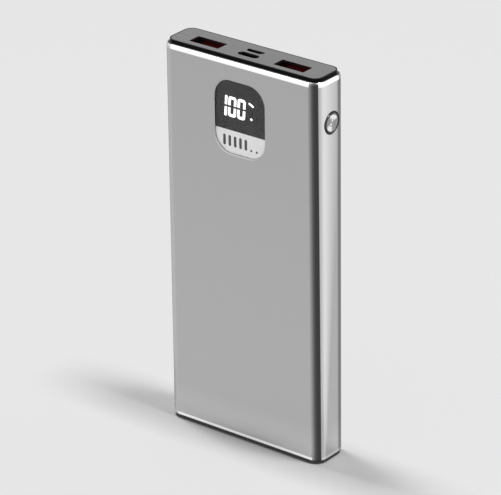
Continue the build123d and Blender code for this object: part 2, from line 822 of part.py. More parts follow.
with BuildPart() as button_bezel:
    with BuildSketch(side_plane.offset(bezel_inner)):
        with Locations((button_y, button_z)):
            Circle(groove_radius - fit_gap)
    extrude(amount=bezel_length)
    # the flange behind the wall fills only the flat part of the side
    with BuildSketch(side_plane.offset(cavity_width / 2 - bezel_flange)):
        with Locations((0, button_z)):
            Rectangle(cavity_depth - 2 * cavity_radius, bezel_flange_height)
    extrude(amount=bezel_flange)
    with BuildSketch(side_plane.offset(bezel_inner)):
        with Locations((button_y, button_z)):
            Circle(button_radius + button_clearance)
    extrude(amount=bezel_length, mode=Mode.SUBTRACT)
keep(button_bezel, "button_bezel")

with BuildPart() as switch_base:
    with BuildSketch(side_plane.offset(switch_back)):
        with Locations((button_y, button_z)):
            Rectangle(switch_depth, switch_height)
    extrude(amount=switch_length)
    with BuildSketch(side_plane.offset(switch_face)):
        with Locations((button_y, button_z)):
            Circle(switch_pocket_radius)
    extrude(amount=-switch_pocket_depth, mode=Mode.SUBTRACT)
keep(switch_base, "switch_base")

with BuildPart() as switch_cover:
    # a sheet-metal bridge over the base, with a wing soldered to the board on each side
    with BuildSketch(side_plane.offset(switch_back)):
        with Locations((button_y, button_z)):
            Rectangle(switch_depth, switch_height + 2 * switch_cover_thickness)
    extrude(amount=switch_length + switch_cover_thickness)
    with BuildSketch(side_plane.offset(switch_back)):
        with Locations((button_y, button_z)):
            Rectangle(switch_depth, switch_height)
    extrude(amount=switch_length, mode=Mode.SUBTRACT)
    with BuildSketch(side_plane.offset(switch_face)):
        with Locations((button_y, button_z)):
            Circle(plunger_radius + fit_gap)
    extrude(amount=switch_cover_thickness, mode=Mode.SUBTRACT)
    with BuildSketch(front_plane.offset(-board_front)):
        with Locations((switch_back + switch_length / 2, button_z)):
            Rectangle(switch_length / 2, switch_height + 2 * port_ear)
            Rectangle(switch_length / 2, switch_height + switch_cover_thickness, mode=Mode.SUBTRACT)
    extrude(amount=switch_cover_thickness)
keep(switch_cover, "switch_cover")

with BuildPart() as switch_plunger:
    with BuildSketch(side_plane.offset(plunger_end)):
        with Locations((button_y, button_z)):
            Circle(plunger_radius)
    extrude(amount=plunger_face - plunger_end)
    with BuildSketch(side_plane.offset(plunger_end)):
        with Locations((button_y, button_z)):
            Circle(plunger_collar_radius)
    extrude(amount=plunger_collar)
keep(switch_plunger, "switch_plunger")

# a shallow spring dome: a thin slice of a ball whose rim stands on the pocket's floor
dome_ball = (dome_radius**2 + dome_rise**2) / (2 * dome_rise)
button_axis = Axis((0, button_y, button_z), (1, 0, 0))
with BuildPart() as switch_dome:
    with BuildSketch(Plane((0, button_y, button_z))):
        with Locations((dome_top - dome_ball, 0)):
            Circle(dome_ball)
            Circle(dome_ball - dome_thickness, mode=Mode.SUBTRACT)
        with Locations((pocket_floor, 0)):
            Rectangle(dome_ball, dome_ball, align=Align.MIN, mode=Mode.INTERSECT)
    revolve(axis=button_axis)
keep(switch_dome, "switch_dome")

# ---------------------------------------------------------------- battery
for name, side in (("front_cell", -1), ("rear_cell", 1)):
    with BuildPart() as cell:
        with BuildSketch(Plane.XY.offset(cell_bottom)):
            with Locations((0, side * cell_y)):
                Rectangle(cell_width, cell_depth)
        extrude(amount=cell_body_height)
        fillet(cell.edges(), cell_fillet)
        with BuildSketch(Plane.XY.offset(cell_body_top - cell_fillet)):
            with Locations((0, side * cell_y)):
                Rectangle(cell_width - 2 * cell_fillet, seal_thickness)
        extrude(amount=cell_fillet + cell_seal)
    keep(cell, name)

with BuildPart() as cell_adhesive:
    with BuildSketch(Plane.XY.offset(cell_bottom + pad_margin)):
        Rectangle(cell_width - 2 * pad_margin, cell_gap)
    extrude(amount=cell_body_height - 2 * pad_margin)
keep(cell_adhesive, "cell_adhesive")

for name, side in (("front_pad", -1), ("rear_pad", 1)):
    with BuildPart() as pad:
        with BuildSketch(Plane.XY.offset(cell_bottom + pad_margin)):
            with Locations((0, side * (pad_y + pad_thickness / 2))):
                Rectangle(cell_width - 2 * pad_margin, pad_thickness)
        extrude(amount=cell_body_height - 2 * pad_margin)
    keep(pad, name)

seal_top = cell_body_top + cell_seal
with BuildPart() as protection_board:
    with BuildSketch(Plane.XY.offset(cell_body_top + seat_gap)):
        Rectangle(protection_width, protection_thickness)
    extrude(amount=cell_seal + tab_rise)
keep(protection_board, "protection_board")

with BuildPart() as cell_tabs:
    # each tab stands up from its cell's seal and bends over to the protection board
    for side in (-1, 1):
        near = side * protection_thickness / 2
        far = side * (cell_y + tab_thickness / 2)
        step = side * (cell_y - tab_thickness / 2)
        for x in (-tab_x, tab_x):
            with BuildSketch(side_plane.offset(x - tab_width / 2)):
                Polygon(
                    (far, seal_top),
                    (far, seal_top + tab_bend),
                    (near, seal_top + tab_bend),
                    (near, seal_top + tab_bend - tab_thickness),
                    (step, seal_top + tab_bend - tab_thickness),
                    (step, seal_top),
                    align=None,
                )
            extrude(amount=tab_width)
keep(cell_tabs, "cell_tabs")

lead_start = cell_body_top + seat_gap + cell_seal + tab_rise
lead_y = board_front - lead_radius - seat_gap
lead_turn = board_bottom - lead_start
lead_end = board_bottom + lead_landing
for name, x in (("positive_lead", -lead_x), ("negative_lead", lead_x)):
    with BuildPart() as lead:
        with BuildLine():
            FilletPolyline(
                (x, 0, lead_start),
                (x, 0, lead_start + lead_turn / 3),
                (x, lead_y, lead_start + lead_turn),
                (x, lead_y, lead_end),
                radius=lead_bend,
            )
        with BuildSketch(Plane((x, 0, lead_start))):
            Circle(lead_radius)
        sweep()
    keep(lead, name)
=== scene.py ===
import math
import bmesh
import bpy
from mathutils import Matrix, Vector


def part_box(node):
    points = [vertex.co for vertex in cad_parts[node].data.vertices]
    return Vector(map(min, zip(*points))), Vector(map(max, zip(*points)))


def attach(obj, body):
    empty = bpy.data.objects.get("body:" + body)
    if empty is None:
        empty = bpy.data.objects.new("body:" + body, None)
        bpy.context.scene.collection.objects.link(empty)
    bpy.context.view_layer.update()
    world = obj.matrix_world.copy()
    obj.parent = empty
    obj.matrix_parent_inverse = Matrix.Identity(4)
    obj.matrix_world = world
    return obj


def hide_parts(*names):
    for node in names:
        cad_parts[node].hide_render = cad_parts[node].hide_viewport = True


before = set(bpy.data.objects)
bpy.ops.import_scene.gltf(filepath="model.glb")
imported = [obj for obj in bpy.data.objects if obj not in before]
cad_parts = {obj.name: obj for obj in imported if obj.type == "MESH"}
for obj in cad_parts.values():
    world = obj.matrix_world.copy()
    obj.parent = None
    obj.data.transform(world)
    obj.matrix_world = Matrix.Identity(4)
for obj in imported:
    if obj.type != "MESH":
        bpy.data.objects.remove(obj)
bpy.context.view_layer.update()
mm = 0.001                  # every size below is in millimetres and times this
mergeDistance = 0.001 * mm
reliefDepth = 0.02 * mm     # height of the finest surface grain
sharpAngle = math.radians(40)
noiseSpread = (0.35, 0.65)  # most values of a noise lie in this range
scene = bpy.context.scene
print("frame loaded with", len(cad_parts), "nodes")


def toLinear(hexColour, alpha=1.0):
    # sRGB hex colour to the linear values that shaders take
    channels = []
    for place in (1, 3, 5):
        share = int(hexColour[place:place + 2], 16) / 255
        channels.append(share / 12.92 if share <= 0.04045 else ((share + 0.055) / 1.055) ** 2.4)
    return (*channels, alpha)


def addNode(tree, kind, settings=None, links=None, stops=None):
    # one node: settings are inputs or properties by name, links are input: node or (node, output)
    node = tree.nodes.new(kind)
    for name, value in (settings or {}).items():
        if isinstance(name, int) or name in node.inputs:
            node.inputs[name].default_value = value
        else:
            setattr(node, name, value)
    for name, link in (links or {}).items():
        source, output = link if isinstance(link, tuple) else (link, 0)
        tree.links.new(source.outputs[output], node.inputs[name])
    if stops:
        ramp = node.color_ramp
        while len(ramp.elements) < len(stops):
            ramp.elements.new(0.5)
        for element, (place, grey) in zip(ramp.elements, stops):
            element.position = place
            element.color = (grey, grey, grey, 1)
    return node


def newMaterial(name):
    material = bpy.data.materials.new(name)
    material.use_nodes = True
    material.node_tree.nodes.clear()
    return material, material.node_tree


# camera: round the middle of the object, with a long lens
cameraPlan = {
    "azimuth": 38.05,
    "elevation": 24.88,
    "roll": -0.72,
    "distance": 1298.6,
    "height": 72.12,
    "slideRight": -1.583,
    "slideUp": 1.04,
    "lens": 264.96,
    "sensor": 36.0,
    "clip": (10, 50000),
}


def makeCamera(plan):
    azimuth, elevation, roll = (math.radians(plan[name]) for name in ("azimuth", "elevation", "roll"))
    back = Vector((math.sin(azimuth) * math.cos(elevation),
                   -math.cos(azimuth) * math.cos(elevation),
                   math.sin(elevation)))
    level = Vector((math.cos(azimuth), math.sin(azimuth), 0))
    upright = back.cross(level)
    right = level * math.cos(roll) + upright * math.sin(roll)
    up = upright * math.cos(roll) - level * math.sin(roll)
    data = bpy.data.cameras.new("camera")
    data.lens, data.sensor_width = plan["lens"], plan["sensor"]
    data.clip_start, data.clip_end = (distance * mm for distance in plan["clip"])
    camera = bpy.data.objects.new("camera", data)
    scene.collection.objects.link(camera)
    place = (Vector((0, 0, plan["height"])) + back * plan["distance"]
             + right * plan["slideRight"] + up * plan["slideUp"]) * mm
    turn = Matrix((right, up, back)).transposed().to_4x4()
    camera.matrix_world = Matrix.Translation(place) @ turn
    scene.camera = camera


makeCamera(cameraPlan)
print("camera placed")

# studio: an even pale dome, two softboxes overhead, one to each side, and a pale floor
studioPlan = {
    "dome": 1.1,
    "floorColour": "#636363",
    "floorSize": 12000,
    "boxLength": 940,
    "boxDepth": 480,
    "boxReach": 940,       # from the object to the middle of each softbox, along its width
    "boxBack": 120,        # and this far behind it, towards +Y
    "boxHeight": 3500,
    "boxPower": 375.0,
}


def makeStudio(plan):
    world = bpy.data.worlds.new("studio")
    world.use_nodes = True
    world.node_tree.nodes.clear()
    dome = addNode(world.node_tree, "ShaderNodeBackground", {"Color": (1, 1, 1, 1), "Strength": plan["dome"]})
    addNode(world.node_tree, "ShaderNodeOutputWorld", {}, {"Surface": (dome, "Background")})
    scene.world = world
    scene.view_settings.view_transform = "Standard"
    for name, side in (("leftSoftbox", -1), ("rightSoftbox", 1)):
        data = bpy.data.lights.new(name, "AREA")
        data.shape = "RECTANGLE"
        data.energy = plan["boxPower"]
        data.size = plan["boxLength"] * mm
        data.size_y = plan["boxDepth"] * mm
        box = bpy.data.objects.new(name, data)
        box.location = (side * plan["boxReach"] * mm, plan["boxBack"] * mm, plan["boxHeight"] * mm)
        scene.collection.objects.link(box)
    half = plan["floorSize"] / 2 * mm
    mesh = bpy.data.meshes.new("floor")
    corners = [(-half, -half, 0), (half, -half, 0), (half, half, 0), (-half, half, 0)]
    mesh.from_pydata(corners, [], [(0, 1, 2, 3)])
    floor = bpy.data.objects.new("floor", mesh)
    scene.collection.objects.link(floor)
    # matt background paper: no gloss at all, so the floor stays one tone
    paper, tree = newMaterial("mattPaper")
    shade = addNode(tree, "ShaderNodeBsdfPrincipled", {
        "Base Color": toLinear(plan["floorColour"]), "Roughness": 1.0, "Specular IOR Level": 0.0})
    addNode(tree, "ShaderNodeOutputMaterial", {}, {"Surface": shade})
    mesh.materials.append(paper)


makeStudio(studioPlan)
print("studio lit")

# places that several finishes and pieces share, read from the frame
sleeveLow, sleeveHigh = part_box("housing_sleeve")
buttonLow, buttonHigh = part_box("power_button")
buttonMiddle = (buttonLow + buttonHigh) / 2

# sleeve: tones are shares of full white, turns go round a corner from the wide face (0) to the side (1); most
# of these tones are painted light and shade
sleevePlan = {
    "faceTone": 0.485,
    "roughness": 0.30,
    "cornerRadius": 4.5,
    "streakPitch": 0.35,         # drawing lines, drawn coarser than the real 0.05
    "streakStretch": 0.01,
    "streakSpread": (0.3, 0.7),
    "streakDepth": 0.008,
    "grainStrength": 0.03,
    "footLift": 1.07,            # painted light: the foot of the sleeve is this much lighter than its top
    "footGlow": 0.28,            # and the last stretch above the floor has more painted light again
    "glowHeight": 14,
    "sideGain": 0.88,            # painted highlight: the sides are this much lighter along their bright edge
    "sideReach": (0.10, 1.30),   # width of the bright stretch at the foot and at the top
    "sideStart": 0.7,            # it starts this share of the corner's radius from the wide face
    "darkSideFrom": (0.52, 0.56),
    "paleSideFrom": 0.97,
    "backEdge": 0.50,            # tone of the painted shade along the other edge of a side
    "backEdgeWidth": 0.9,
    "bandSlant": (0.10, 0.01),   # how far the painted dark band has moved round its corner, at foot and top
    # rims: a painted highlight line on each, which also glows, and painted shade on the lips between it and
    # the sleeve's ends
    "rimHeight": 1.7,
    "rimEdge": 0.30,             # the rounded lip of the rim, in the top cap's shade
    "rimShine": 0.28,
    "rimSoftness": 0.14,
    "rimFade": 0.12,
    "lipTone": 0.05,
    "footRim": 1.75,
    "footEdge": 0.70,
    "footShine": 0.27,
    "footLipTone": 0.35,
    "footSide": 0.35,            # strength of the foot's painted highlight line on the narrow sides
    "footSideFrom": (0.5, 0.6),
    "buttonHole": 4.25,
    "holeHighlightWidth": 0.35,            # painted highlight round the button's hole
    "holeHighlightFade": 0.1,
    "holeHighlightTone": 0.45,
    "holeHighlightSkin": 1.0,              # it is drawn no deeper than this into the right-hand wall
    # colour of the painted highlights on the rims and round the button's hole
    "bright": "#FCFCFC",
}
# (turn, tone) round a corner, as shares of the face's tone: painted reflections, dark bands on two corners
# and darker edges on the other two; and where the rims' painted highlight shows
paintedDarkCorner = [(0.0, 1.0), (0.01, 0.92), (0.12, 0.58), (0.225, 0.25), (0.32, 0.135), (0.42, 0.115),
              (0.520, 0.120), (0.555, 0.60), (0.62, 0.66), (0.76, 0.92), (0.86, 1.0), (1.0, 1.0)]
paintedPaleCorner = [(0.0, 1.0), (0.03, 1.0), (0.10, 1.10), (0.30, 1.04), (0.46, 0.60), (0.60, 0.32),
              (0.90, 0.32), (0.98, 0.55), (0.99, 1.0)]
darkRim = [(0.0, 1.0), (0.04, 1.0), (0.07, 0.0), (0.54, 0.0), (0.58, 1.0)]
paleRim = [(0.0, 1.0), (0.05, 1.0), (0.10, 0.2), (0.93, 0.2), (0.97, 1.0)]


def readSleevePlaces(tree, plan):
    # where a point lies on the sleeve: its turn round a corner, its depth, its height, its kind of corner
    radius = plan["cornerRadius"] * mm
    coords = addNode(tree, "ShaderNodeTexCoord")
    axes = addNode(tree, "ShaderNodeSeparateXYZ", {}, {"Vector": (coords, "Object")})
    past = []
    for axis, half in (("X", sleeveHigh.x), ("Y", sleeveHigh.y)):
        size = addNode(tree, "ShaderNodeMath", {"operation": "ABSOLUTE"}, {0: (axes, axis)})
        over = addNode(tree, "ShaderNodeMath", {"operation": "SUBTRACT", 1: half - radius}, {0: size})
        past.append(addNode(tree, "ShaderNodeMath", {"operation": "MAXIMUM", 1: 0.0}, {0: over}))
    angle = addNode(tree, "ShaderNodeMath", {"operation": "ARCTAN2"}, {0: past[0], 1: past[1]})
    turn = addNode(tree, "ShaderNodeMath", {"operation": "DIVIDE", 1: math.pi / 2}, {0: angle})
    # the sleeve looks the same turned by half, so Y is read towards +X and mirrored towards -X
    side = addNode(tree, "ShaderNodeMath", {"operation": "SIGN"}, {0: (axes, "X")})
    depth = addNode(tree, "ShaderNodeMath", {"operation": "MULTIPLY"}, {0: (axes, "Y"), 1: side})
    isDark = addNode(tree, "ShaderNodeMath", {"operation": "LESS_THAN", 1: 0.0}, {0: depth})
    height = addNode(tree, "ShaderNodeMapRange", {"From Min": sleeveLow.z, "From Max": sleeveHigh.z},
                     {"Value": (axes, "Z")})
    slantFoot, slantTop = plan["bandSlant"]
    slant = addNode(tree, "ShaderNodeMapRange", {"To Min": slantFoot, "To Max": slantTop}, {"Value": height})
    slanted = addNode(tree, "ShaderNodeMath", {"operation": "SUBTRACT"}, {0: turn, 1: slant})
    return {"coords": coords, "axes": axes, "turn": turn, "slanted": slanted,
            "depth": depth, "isDark": isDark, "height": height}


def chooseByCorner(tree, places, darkStops, paleStops):
    # the dark corners' ramp on one half of the depth, the pale corners' ramp on the other
    dark = addNode(tree, "ShaderNodeValToRGB", {}, {"Fac": places["slanted"]}, darkStops)
    pale = addNode(tree, "ShaderNodeValToRGB", {}, {"Fac": places["turn"]}, paleStops)
    return addNode(tree, "ShaderNodeMix", {"data_type": "FLOAT"},
                   {0: places["isDark"], 2: (pale, "Color"), 3: (dark, "Color")})


def shadeSides(tree, places, plan):
    # sides: painted light, brightest along the edge beside the dark corner, with painted shade along the
    # other edge, and the bright stretch narrows downwards
    radius = plan["cornerRadius"] * mm
    reachFoot, reachTop = plan["sideReach"]
    reach = addNode(tree, "ShaderNodeMapRange", {"To Min": reachFoot, "To Max": reachTop},
                    {"Value": places["height"]})
    inward = addNode(tree, "ShaderNodeMapRange", {
        "From Min": -sleeveHigh.y + radius * plan["sideStart"], "From Max": sleeveHigh.y - radius},
        {"Value": places["depth"]})
    spent = addNode(tree, "ShaderNodeMath", {"operation": "DIVIDE"}, {0: inward, 1: reach})
    gain = addNode(tree, "ShaderNodeMapRange", {"To Min": 1 + plan["sideGain"], "To Max": 1.0},
                   {"Value": spent})
    ending = addNode(tree, "ShaderNodeMapRange", {
        "From Min": sleeveHigh.y - radius - plan["backEdgeWidth"] * mm, "From Max": sleeveHigh.y - radius,
        "To Min": 1.0, "To Max": plan["backEdge"]}, {"Value": places["depth"]})
    gain = addNode(tree, "ShaderNodeMath", {"operation": "MULTIPLY"}, {0: gain, 1: ending})
    darkFrom, darkTo = plan["darkSideFrom"]
    pastDark = addNode(tree, "ShaderNodeMapRange", {"From Min": darkFrom, "From Max": darkTo},
                       {"Value": places["slanted"]})
    pastPale = addNode(tree, "ShaderNodeMath", {"operation": "GREATER_THAN", 1: plan["paleSideFrom"]},
                       {0: places["turn"]})
    share = addNode(tree, "ShaderNodeMix", {"data_type": "FLOAT"},
                    {0: places["isDark"], 2: pastPale, 3: pastDark})
    return addNode(tree, "ShaderNodeMix", {"data_type": "FLOAT", 2: 1.0}, {0: share, 3: gain})


def shadeLength(tree, places, plan):
    # painted light: the sleeve gets a little lighter downwards, most of all just above the floor
    along = addNode(tree, "ShaderNodeMapRange", {
        "To Min": plan["faceTone"] * plan["footLift"], "To Max": plan["faceTone"]},
        {"Value": places["height"]})
    glow = addNode(tree, "ShaderNodeMapRange", {
        "From Min": sleeveLow.z, "From Max": sleeveLow.z + plan["glowHeight"] * mm,
        "To Min": 1 + plan["footGlow"], "To Max": 1.0}, {"Value": (places["axes"], "Z")})
    return addNode(tree, "ShaderNodeMath", {"operation": "MULTIPLY"}, {0: along, 1: glow})


def drawRim(tree, places, plan, end, away, height, edge, lipTone):
    # one rim: its painted highlight line, and the painted shade of the lip between that line and the sleeve's
    # end
    inside = addNode(tree, "ShaderNodeMapRange", {
        "From Min": end + away * height * (1 + plan["rimFade"]) * mm,
        "From Max": end + away * height * (1 - plan["rimFade"]) * mm},
        {"Value": (places["axes"], "Z")})
    below = addNode(tree, "ShaderNodeMapRange", {
        "From Min": end + away * (edge - plan["rimSoftness"]) * mm,
        "From Max": end + away * (edge + plan["rimSoftness"]) * mm},
        {"Value": (places["axes"], "Z")})
    line = addNode(tree, "ShaderNodeMath", {"operation": "MULTIPLY"}, {0: inside, 1: below})
    line = addNode(tree, "ShaderNodeMath", {"operation": "MULTIPLY"}, {0: line, 1: places["rimShare"]})
    lip = addNode(tree, "ShaderNodeMapRange", {"To Min": lipTone}, {"Value": below})
    return line, lip


def paintHoleHighlight(tree, places, plan):
    # a painted highlight round the button's hole
    onHole = addNode(tree, "ShaderNodeMapping", {"Location": tuple(-buttonMiddle), "Scale": (0, 1, 1)},
                     {"Vector": (places["coords"], "Object")})
    away = addNode(tree, "ShaderNodeVectorMath", {"operation": "LENGTH"}, {0: onHole})
    outer = (plan["buttonHole"] + plan["holeHighlightWidth"]) * mm
    cut = addNode(tree, "ShaderNodeMapRange", {
        "From Min": outer, "From Max": outer - plan["holeHighlightFade"] * mm, "To Max": plan["holeHighlightTone"]},
        {"Value": (away, "Value")})
    rightHand = addNode(tree, "ShaderNodeMath", {
        "operation": "GREATER_THAN", 1: sleeveHigh.x - plan["holeHighlightSkin"] * mm}, {0: (places["axes"], "X")})
    return addNode(tree, "ShaderNodeMath", {"operation": "MULTIPLY"}, {0: cut, 1: rightHand})


def makeSleeveWithPaintedLight(plan):
    # satin anodised aluminium, extruded: soft grey with faint lines along its length; painted reflections
    # make two opposite corners dark bands, and both rims carry painted highlights that also glow
    material, tree = newMaterial("satinAluminiumPaintedLight")
    places = readSleevePlaces(tree, plan)
    corner = chooseByCorner(tree, places, paintedDarkCorner, paintedPaleCorner)
    places["rimShare"] = chooseByCorner(tree, places, darkRim, paleRim)
    # drawing lines run along Z, so the pattern is squeezed across it
    squeeze = addNode(tree, "ShaderNodeMapping", {"Scale": (1, 1, plan["streakStretch"])},
                      {"Vector": (places["coords"], "Object")})
    lines = addNode(tree, "ShaderNodeTexNoise", {"Scale": 1 / (plan["streakPitch"] * mm), "Detail": 2.0},
                    {"Vector": squeeze})
    noiseLow, noiseHigh = plan["streakSpread"]
    streak = addNode(tree, "ShaderNodeMapRange", {
        "From Min": noiseLow, "From Max": noiseHigh,
        "To Min": 1 - plan["streakDepth"], "To Max": 1 + plan["streakDepth"]}, {"Value": (lines, "Fac")})
    topLine, topLip = drawRim(tree, places, plan, sleeveHigh.z, -1,
                              plan["rimHeight"], plan["rimEdge"], plan["lipTone"])
    footLine, footLip = drawRim(tree, places, plan, sleeveLow.z, 1,
                                plan["footRim"], plan["footEdge"], plan["footLipTone"])
    sideFrom, sideTo = plan["footSideFrom"]
    weaker = addNode(tree, "ShaderNodeMapRange", {
        "From Min": sideFrom, "From Max": sideTo, "To Min": 1.0, "To Max": plan["footSide"]},
        {"Value": places["turn"]})
    footLine = addNode(tree, "ShaderNodeMath", {"operation": "MULTIPLY"}, {0: footLine, 1: weaker})
    tone = shadeSides(tree, places, plan)
    for share in (shadeLength(tree, places, plan), streak, corner, topLip, footLip):
        tone = addNode(tree, "ShaderNodeMath", {"operation": "MULTIPLY"}, {0: tone, 1: share})
    bright = addNode(tree, "ShaderNodeMath", {"operation": "ADD"}, {0: topLine, 1: footLine})
    bright = addNode(tree, "ShaderNodeMath", {"operation": "ADD", "use_clamp": True},
                     {0: bright, 1: paintHoleHighlight(tree, places, plan)})
    colour = addNode(tree, "ShaderNodeMix", {"data_type": "RGBA", 7: toLinear(plan["bright"])},
                     {0: bright, 6: tone})
    # the rims' painted highlights also glow
    topShine = addNode(tree, "ShaderNodeMath", {"operation": "MULTIPLY", 1: plan["rimShine"]}, {0: topLine})
    shine = addNode(tree, "ShaderNodeMath", {"operation": "MULTIPLY_ADD", 1: plan["footShine"]},
                    {0: footLine, 2: topShine})
    grain = addNode(tree, "ShaderNodeBump", {"Strength": plan["grainStrength"], "Distance": reliefDepth},
                    {"Height": (lines, "Fac")})
    shade = addNode(tree, "ShaderNodeBsdfPrincipled", {
        "Metallic": 1.0, "Roughness": plan["roughness"], "Emission Strength": 1.0},
        {"Base Color": (colour, 2), "Normal": grain, "Emission Color": shine})
    addNode(tree, "ShaderNodeOutputMaterial", {}, {"Surface": shade})
    return material


# turned face of the button: the light that its fine rings gather in two opposite lobes is a painted highlight
# here, and its outer rings carry painted shade
paintedLobePlan = {
    "roughness": 0.28,
    "lobeAngle": 62,             # degrees from +Y, towards +Z, of the bright lobes
    "lobeFade": 0.6,
    "lobeRise": (-0.25, 0.55),   # added to the wave from low to high, so the upper lobe is wider
    "riseSpan": 3,               # the rise runs from this far below the middle to this far above
    # painted highlight in the lobes, painted tone between them, painted shade on the outer rings
    "lobe": "#FFFFFF",
    "between": "#A0A0A0",
    "outer": "#4A4A4A",
    "brightRadius": 3.0,         # the painted lobes end here, and the outer rings keep their painted shade
    "brightShift": (0.25, -0.22),
    "brightFade": 0.15,
    "paleOuter": (0.8, 2.6),     # towards +Y the outer rings' painted shade turns pale between these two depths
}


def makeChromeWithPaintedLobes(plan):
    # chrome-plated brass, turned on a lathe: a bright neutral metal with painted highlights in two lobes and
    # painted shade round them
    material, tree = newMaterial("chromedBrassPaintedLobes")
    coords = addNode(tree, "ShaderNodeTexCoord")
    centred = addNode(tree, "ShaderNodeMapping", {"Location": tuple(-buttonMiddle)},
                      {"Vector": (coords, "Object")})
    axes = addNode(tree, "ShaderNodeSeparateXYZ", {}, {"Vector": centred})
    angle = addNode(tree, "ShaderNodeMath", {"operation": "ARCTAN2"}, {0: (axes, "Z"), 1: (axes, "Y")})
    twice = addNode(tree, "ShaderNodeMath", {
        "operation": "MULTIPLY_ADD", 1: 2.0, 2: -2 * math.radians(plan["lobeAngle"])}, {0: angle})
    wave = addNode(tree, "ShaderNodeMath", {"operation": "COSINE"}, {0: twice})
    riseLow, riseHigh = plan["lobeRise"]
    rise = addNode(tree, "ShaderNodeMapRange", {
        "From Min": -plan["riseSpan"] * mm, "From Max": plan["riseSpan"] * mm,
        "To Min": riseLow, "To Max": riseHigh}, {"Value": (axes, "Z")})
    wave = addNode(tree, "ShaderNodeMath", {"operation": "ADD"}, {0: wave, 1: rise})
    lobes = addNode(tree, "ShaderNodeMapRange", {"From Max": plan["lobeFade"]}, {"Value": wave})
    face = addNode(tree, "ShaderNodeMix", {
        "data_type": "RGBA", 6: toLinear(plan["between"]), 7: toLinear(plan["lobe"])}, {0: lobes})
    shiftY, shiftZ = plan["brightShift"]
    moved = addNode(tree, "ShaderNodeMapping", {
        "Location": (0, -shiftY * mm, -shiftZ * mm), "Scale": (0, 1, 1)}, {"Vector": centred})
    radius = addNode(tree, "ShaderNodeVectorMath", {"operation": "LENGTH"}, {0: moved})
    outside = addNode(tree, "ShaderNodeMapRange", {
        "From Min": (plan["brightRadius"] - plan["brightFade"]) * mm,
        "From Max": (plan["brightRadius"] + plan["brightFade"]) * mm}, {"Value": (radius, "Value")})
    paleFrom, paleTo = plan["paleOuter"]
    paleHalf = addNode(tree, "ShaderNodeMapRange", {"From Min": paleFrom * mm, "From Max": paleTo * mm},
                       {"Value": (axes, "Y")})
    outer = addNode(tree, "ShaderNodeMix", {
        "data_type": "RGBA", 6: toLinear(plan["outer"]), 7: toLinear(plan["between"])}, {0: paleHalf})
    colour = addNode(tree, "ShaderNodeMix", {"data_type": "RGBA"}, {0: outside, 6: (face, 2), 7: (outer, 2)})
    shade = addNode(tree, "ShaderNodeBsdfPrincipled", {"Metallic": 1.0, "Roughness": plan["roughness"]},
                    {"Base Color": (colour, 2)})
    addNode(tree, "ShaderNodeOutputMaterial", {}, {"Surface": shade})
    return material


def finishSurface(tree, noise, dark, light, relief, settings):
    # colour and relief both follow the same noise
    share = addNode(tree, "ShaderNodeMapRange", {"From Min": noiseSpread[0], "From Max": noiseSpread[1]},
                    {"Value": (noise, "Fac")})
    colour = addNode(tree, "ShaderNodeMix", {"data_type": "RGBA", 6: toLinear(dark), 7: toLinear(light)},
                     {0: share})
    skin = addNode(tree, "ShaderNodeBump", {"Strength": relief, "Distance": reliefDepth},
                   {"Height": (noise, "Fac")})
    shade = addNode(tree, "ShaderNodeBsdfPrincipled", settings, {"Base Color": (colour, 2), "Normal": skin})
    addNode(tree, "ShaderNodeOutputMaterial", {}, {"Surface": shade})


def makeBrushedFinish(name, dark, light, roughness, pitch, along):
    # brushed metal: long fine scratches along one axis, seen as streaks of lighter and darker grey
    material, tree = newMaterial(name)
    coords = addNode(tree, "ShaderNodeTexCoord")
    stretch = [1.0, 1.0, 1.0]
    stretch["XYZ".index(along)] = 0.02  # fifty times as long as wide
    squeeze = addNode(tree, "ShaderNodeMapping", {"Scale": stretch}, {"Vector": (coords, "Object")})
    lines = addNode(tree, "ShaderNodeTexNoise", {"Scale": 1 / (pitch * mm), "Detail": 4.0, "Roughness": 0.65},
                    {"Vector": squeeze})
    finishSurface(tree, lines, dark, light, 0.15, {"Metallic": 1.0, "Roughness": roughness})
    return material


def makeMouldedFinish(name, dark, light, roughness, grain, relief):
    # moulded, printed or coated material: an even colour with a fine grain in tone and surface
    material, tree = newMaterial(name)
    coords = addNode(tree, "ShaderNodeTexCoord")
    cloud = addNode(tree, "ShaderNodeTexNoise", {"Scale": 1 / (grain * mm), "Detail": 3.0},
                    {"Vector": (coords, "Object")})
    finishSurface(tree, cloud, dark, light, relief, {"Roughness": roughness, **ownSettings.get(name, {})})
    return material


# metals: dark and light streak, roughness, width of a streak, axis that the streaks follow
metalFinishes = {
    "brushedAluminium": ("#4E4E4E", "#666666", 0.35, 0.25, "X"),      # satin streaks along the plate
    "nickelSteelPaintedShade": ("#1C1C1E", "#2A2A2C", 0.4, 0.4, "Z"),       # drawn shells in painted shade, near black as in their mouths
    "bronzeSpringsPaintedShade": ("#6E2A1E", "#8C3A28", 0.35, 0.2, "Z"),         # springs in painted shade, a dull red-brown
    "zincPlatedSteel": ("#9FA3A8", "#C4C8CC", 0.32, 0.15, "Z"),       # pale, slightly blue screws
    "tinnedCopper": ("#B9B4A8", "#D8D3C8", 0.35, 0.1, "Y"),           # pale, slightly warm pins
    "stainlessSpringSteel": ("#A4A6A8", "#C6C8CA", 0.28, 0.1, "Z"),   # smooth, neutral rolled strip
    "nickelStrip": ("#A8A69E", "#C8C6BE", 0.3, 0.15, "Z"),            # smooth, slightly warm strip
}
